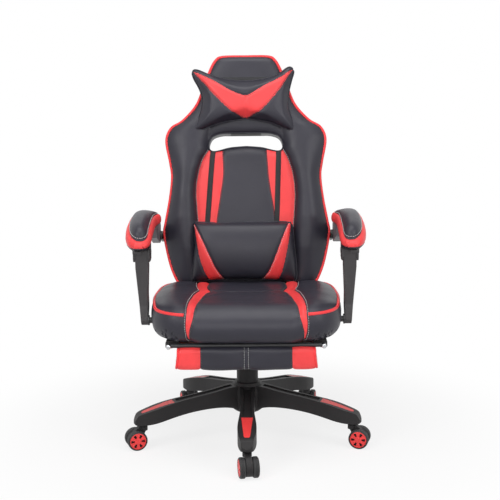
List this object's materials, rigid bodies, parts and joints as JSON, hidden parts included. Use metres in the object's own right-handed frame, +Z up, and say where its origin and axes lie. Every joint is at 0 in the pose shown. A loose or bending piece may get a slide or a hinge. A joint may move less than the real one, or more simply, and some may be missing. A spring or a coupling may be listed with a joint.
{
  "type": "gaming chair",
  "caption": "High-backed swivel gaming chair with winged reclining back, linked padded arms, loose head and lumbar pillows, pull-out footrest and five-star caster base.",
  "frame": {"origin": "on the floor, on the axis of the gas lift column", "axes": "+Z up, -Y the way the sitter faces, +X the sitter's left"},
  "size_m": [0.749, 0.7992, 1.1826],
  "materials": {
    "black_leather": "satin",
    "red_leather": "satin",
    "nylon": "matte",
    "grey_plastic": "matte",
    "red_plastic": "satin",
    "tread": "matte",
    "steel_black": "satin",
    "chrome": "polished",
    "webbing": "matte"
  },
  "bodies": {
    "base": {"star_base": "nylon", "leg_inserts": "red_plastic", "lift_outer_tube": "steel_black", "cover_lower": "nylon"},
    "lift_rod": {"lift_piston_rod": "chrome"},
    "lift_column": {"lift_inner_column": "chrome", "mechanism_housing": "steel_black", "cover_upper": "nylon"},
    "cover_middle": {"cover_middle": "nylon"},
    "height_lever": {"height_lever": "steel_black"},
    "tension_knob": {"tension_knob": "nylon"},
    "seat": {"tilt_plate": "steel_black", "seat_frame": "steel_black", "seat_cushion": "black_leather", "recliner_seat_plates": "steel_black", "footrest_brackets": "nylon", "strut_brackets": "steel_black"},
    "backrest": {"recliner_back_plates": "steel_black", "back_frame": "steel_black", "back_cushion": "black_leather", "window_trim": "nylon", "arm_brackets": "steel_black", "lumbar_straps": "webbing"},
    "recline_lever": {"recline_lever": "steel_black"},
    "footrest_slide": {"footrest_frame": "chrome"},
    "footrest_pad": {"footrest_pad": "black_leather"},
    "lumbar_pillow": {"lumbar_pillow": "black_leather"},
    "head_pillow": {"head_pillow": "black_leather", "head_strap": "webbing"},
    "arm_left": {"arm_frame_left": "nylon", "arm_pad_left": "black_leather"},
    "arm_right": {"arm_frame_right": "nylon", "arm_pad_right": "black_leather"},
    "strut_left": {"strut_left": "nylon"},
    "strut_right": {"strut_right": "nylon"},
    "caster_1": {"caster_1_housing": "nylon"},
    "caster_1_wheel_left": {"caster_1_wheel_left": "tread", "caster_1_cap_left": "red_plastic"},
    "caster_1_wheel_right": {"caster_1_wheel_right": "tread", "caster_1_cap_right": "red_plastic"},
    "caster_2": {"caster_2_housing": "nylon"},
    "caster_2_wheel_left": {"caster_2_wheel_left": "tread", "caster_2_cap_left": "red_plastic"},
    "caster_2_wheel_right": {"caster_2_wheel_right": "tread", "caster_2_cap_right": "red_plastic"},
    "caster_3": {"caster_3_housing": "nylon"},
    "caster_3_wheel_left": {"caster_3_wheel_left": "tread", "caster_3_cap_left": "red_plastic"},
    "caster_3_wheel_right": {"caster_3_wheel_right": "tread", "caster_3_cap_right": "red_plastic"},
    "caster_4": {"caster_4_housing": "nylon"},
    "caster_4_wheel_left": {"caster_4_wheel_left": "tread", "caster_4_cap_left": "red_plastic"},
    "caster_4_wheel_right": {"caster_4_wheel_right": "tread", "caster_4_cap_right": "red_plastic"},
    "caster_5": {"caster_5_housing": "nylon"},
    "caster_5_wheel_left": {"caster_5_wheel_left": "tread", "caster_5_cap_left": "red_plastic"},
    "caster_5_wheel_right": {"caster_5_wheel_right": "tread", "caster_5_cap_right": "red_plastic"}
  },
  "joints": [
    {"name": "caster_1_swivel", "type": "hinge", "parent": "base", "child": "caster_1", "pos_m": [0, -0.333, 0.088], "axis": [0, 0, 1], "continuous": true},
    {"name": "caster_1_spin_left", "type": "hinge", "parent": "caster_1", "child": "caster_1_wheel_left", "pos_m": [0.00399, -0.35565, 0.03], "axis": [0.9848, 0.1736, 0], "continuous": true},
    {"name": "caster_1_spin_right", "type": "hinge", "parent": "caster_1", "child": "caster_1_wheel_right", "pos_m": [0.00399, -0.35565, 0.03], "axis": [0.9848, 0.1736, 0], "continuous": true},
    {"name": "caster_2_swivel", "type": "hinge", "parent": "base", "child": "caster_2", "pos_m": [0.3167, -0.1029, 0.088], "axis": [0, 0, 1], "continuous": true},
    {"name": "caster_2_spin_left", "type": "hinge", "parent": "caster_2", "child": "caster_2_wheel_left", "pos_m": [0.33881, -0.10924, 0.03], "axis": [0.2756, 0.9613, 0], "continuous": true},
    {"name": "caster_2_spin_right", "type": "hinge", "parent": "caster_2", "child": "caster_2_wheel_right", "pos_m": [0.33881, -0.10924, 0.03], "axis": [0.2756, 0.9613, 0], "continuous": true},
    {"name": "caster_3_swivel", "type": "hinge", "parent": "base", "child": "caster_3", "pos_m": [0.19573, 0.2694, 0.088], "axis": [0, 0, 1], "continuous": true},
    {"name": "caster_3_spin_left", "type": "hinge", "parent": "caster_3", "child": "caster_3_wheel_left", "pos_m": [0.19973, 0.29205, 0.03], "axis": [-0.9848, 0.1736, 0], "continuous": true},
    {"name": "caster_3_spin_right", "type": "hinge", "parent": "caster_3", "child": "caster_3_wheel_right", "pos_m": [0.19973, 0.29205, 0.03], "axis": [-0.9848, 0.1736, 0], "continuous": true},
    {"name": "caster_4_swivel", "type": "hinge", "parent": "base", "child": "caster_4", "pos_m": [-0.19573, 0.2694, 0.088], "axis": [0, 0, 1], "continuous": true},
    {"name": "caster_4_spin_left", "type": "hinge", "parent": "caster_4", "child": "caster_4_wheel_left", "pos_m": [-0.20169, 0.29162, 0.03], "axis": [-0.9659, -0.2588, 0], "continuous": true},
    {"name": "caster_4_spin_right", "type": "hinge", "parent": "caster_4", "child": "caster_4_wheel_right", "pos_m": [-0.20169, 0.29162, 0.03], "axis": [-0.9659, -0.2588, 0], "continuous": true},
    {"name": "caster_5_swivel", "type": "hinge", "parent": "base", "child": "caster_5", "pos_m": [-0.3167, -0.1029, 0.088], "axis": [0, 0, 1], "continuous": true},
    {"name": "caster_5_spin_left", "type": "hinge", "parent": "caster_5", "child": "caster_5_wheel_left", "pos_m": [-0.33831, -0.11077, 0.03], "axis": [0.342, -0.9397, 0], "continuous": true},
    {"name": "caster_5_spin_right", "type": "hinge", "parent": "caster_5", "child": "caster_5_wheel_right", "pos_m": [-0.33831, -0.11077, 0.03], "axis": [0.342, -0.9397, 0], "continuous": true},
    {"name": "seat_swivel", "type": "hinge", "parent": "base", "child": "lift_rod", "pos_m": [0, 0, 0.095], "axis": [0, 0, 1], "continuous": true},
    {"name": "lift_slide", "type": "slide", "parent": "lift_rod", "child": "lift_column", "axis": [0, 0, 1], "range_m": [0, 0.08]},
    {"name": "cover_slide", "type": "slide", "parent": "base", "child": "cover_middle", "axis": [0, 0, 1], "range_m": [0, 0.04]},
    {"name": "height_lever_lift", "type": "hinge", "parent": "lift_column", "child": "height_lever", "pos_m": [-0.066, 0.03, 0.3], "axis": [0, 1, 0], "range_deg": [0, 4], "stiffness_Nm_per_rad": 6, "springref_deg": -5.73},
    {"name": "tension_knob_turn", "type": "hinge", "parent": "lift_column", "child": "tension_knob", "pos_m": [0, -0.062, 0.27], "axis": [0, 0, 1], "continuous": true},
    {"name": "seat_tilt", "type": "hinge", "parent": "lift_column", "child": "seat", "pos_m": [0, -0.06, 0.345], "axis": [-1, 0, 0], "range_deg": [0, 10], "stiffness_Nm_per_rad": 130, "springref_deg": -20.05},
    {"name": "backrest_recline", "type": "hinge", "parent": "seat", "child": "backrest", "pos_m": [0, 0.22, 0.4], "axis": [-1, 0, 0], "range_deg": [0, 40]},
    {"name": "recline_lever_pull", "type": "hinge", "parent": "seat", "child": "recline_lever", "pos_m": [-0.2335, 0.22, 0.4], "axis": [-1, 0, 0], "range_deg": [0, 6], "stiffness_Nm_per_rad": 6, "springref_deg": -8.59},
    {"name": "arm_left_pivot", "type": "hinge", "parent": "backrest", "child": "arm_left", "pos_m": [0.293, 0.232, 0.603], "axis": [-1, 0, 0], "range_deg": [-40, 0]},
    {"name": "arm_right_pivot", "type": "hinge", "parent": "backrest", "child": "arm_right", "pos_m": [-0.293, 0.232, 0.603], "axis": [-1, 0, 0], "range_deg": [-40, 0]},
    {"name": "strut_left_pivot", "type": "hinge", "parent": "seat", "child": "strut_left", "pos_m": [0.298, -0.134, 0.403], "axis": [-1, 0, 0], "range_deg": [0, 40]},
    {"name": "strut_right_pivot", "type": "hinge", "parent": "seat", "child": "strut_right", "pos_m": [-0.298, -0.134, 0.403], "axis": [-1, 0, 0], "range_deg": [0, 40]},
    {"name": "footrest_draw", "type": "slide", "parent": "seat", "child": "footrest_slide", "axis": [0, -1, 0], "range_m": [0, 0.3]},
    {"name": "footrest_flip", "type": "hinge", "parent": "footrest_slide", "child": "footrest_pad", "pos_m": [0, -0.245, 0.353], "axis": [-1, 0, 0], "range_deg": [0, 180]},
    {"name": "lumbar_pillow_height", "type": "slide", "parent": "backrest", "child": "lumbar_pillow", "axis": [0, 0.1736, 0.9848], "range_m": [0, 0.1]},
    {"name": "head_pillow_height", "type": "slide", "parent": "backrest", "child": "head_pillow", "axis": [0, 0.1736, 0.9848], "range_m": [0, 0.03]}
  ],
  "couplings": [
    {"joint": "cover_slide", "follows": "lift_slide", "ratio": 0.5},
    {"joint": "arm_left_pivot", "follows": "backrest_recline", "ratio": -1},
    {"joint": "arm_right_pivot", "follows": "backrest_recline", "ratio": -1},
    {"joint": "strut_left_pivot", "follows": "backrest_recline", "ratio": 1},
    {"joint": "strut_right_pivot", "follows": "backrest_recline", "ratio": 1},
    {"joint": "footrest_flip", "follows": "footrest_draw", "rad_per_m": 10.472}
  ]
}
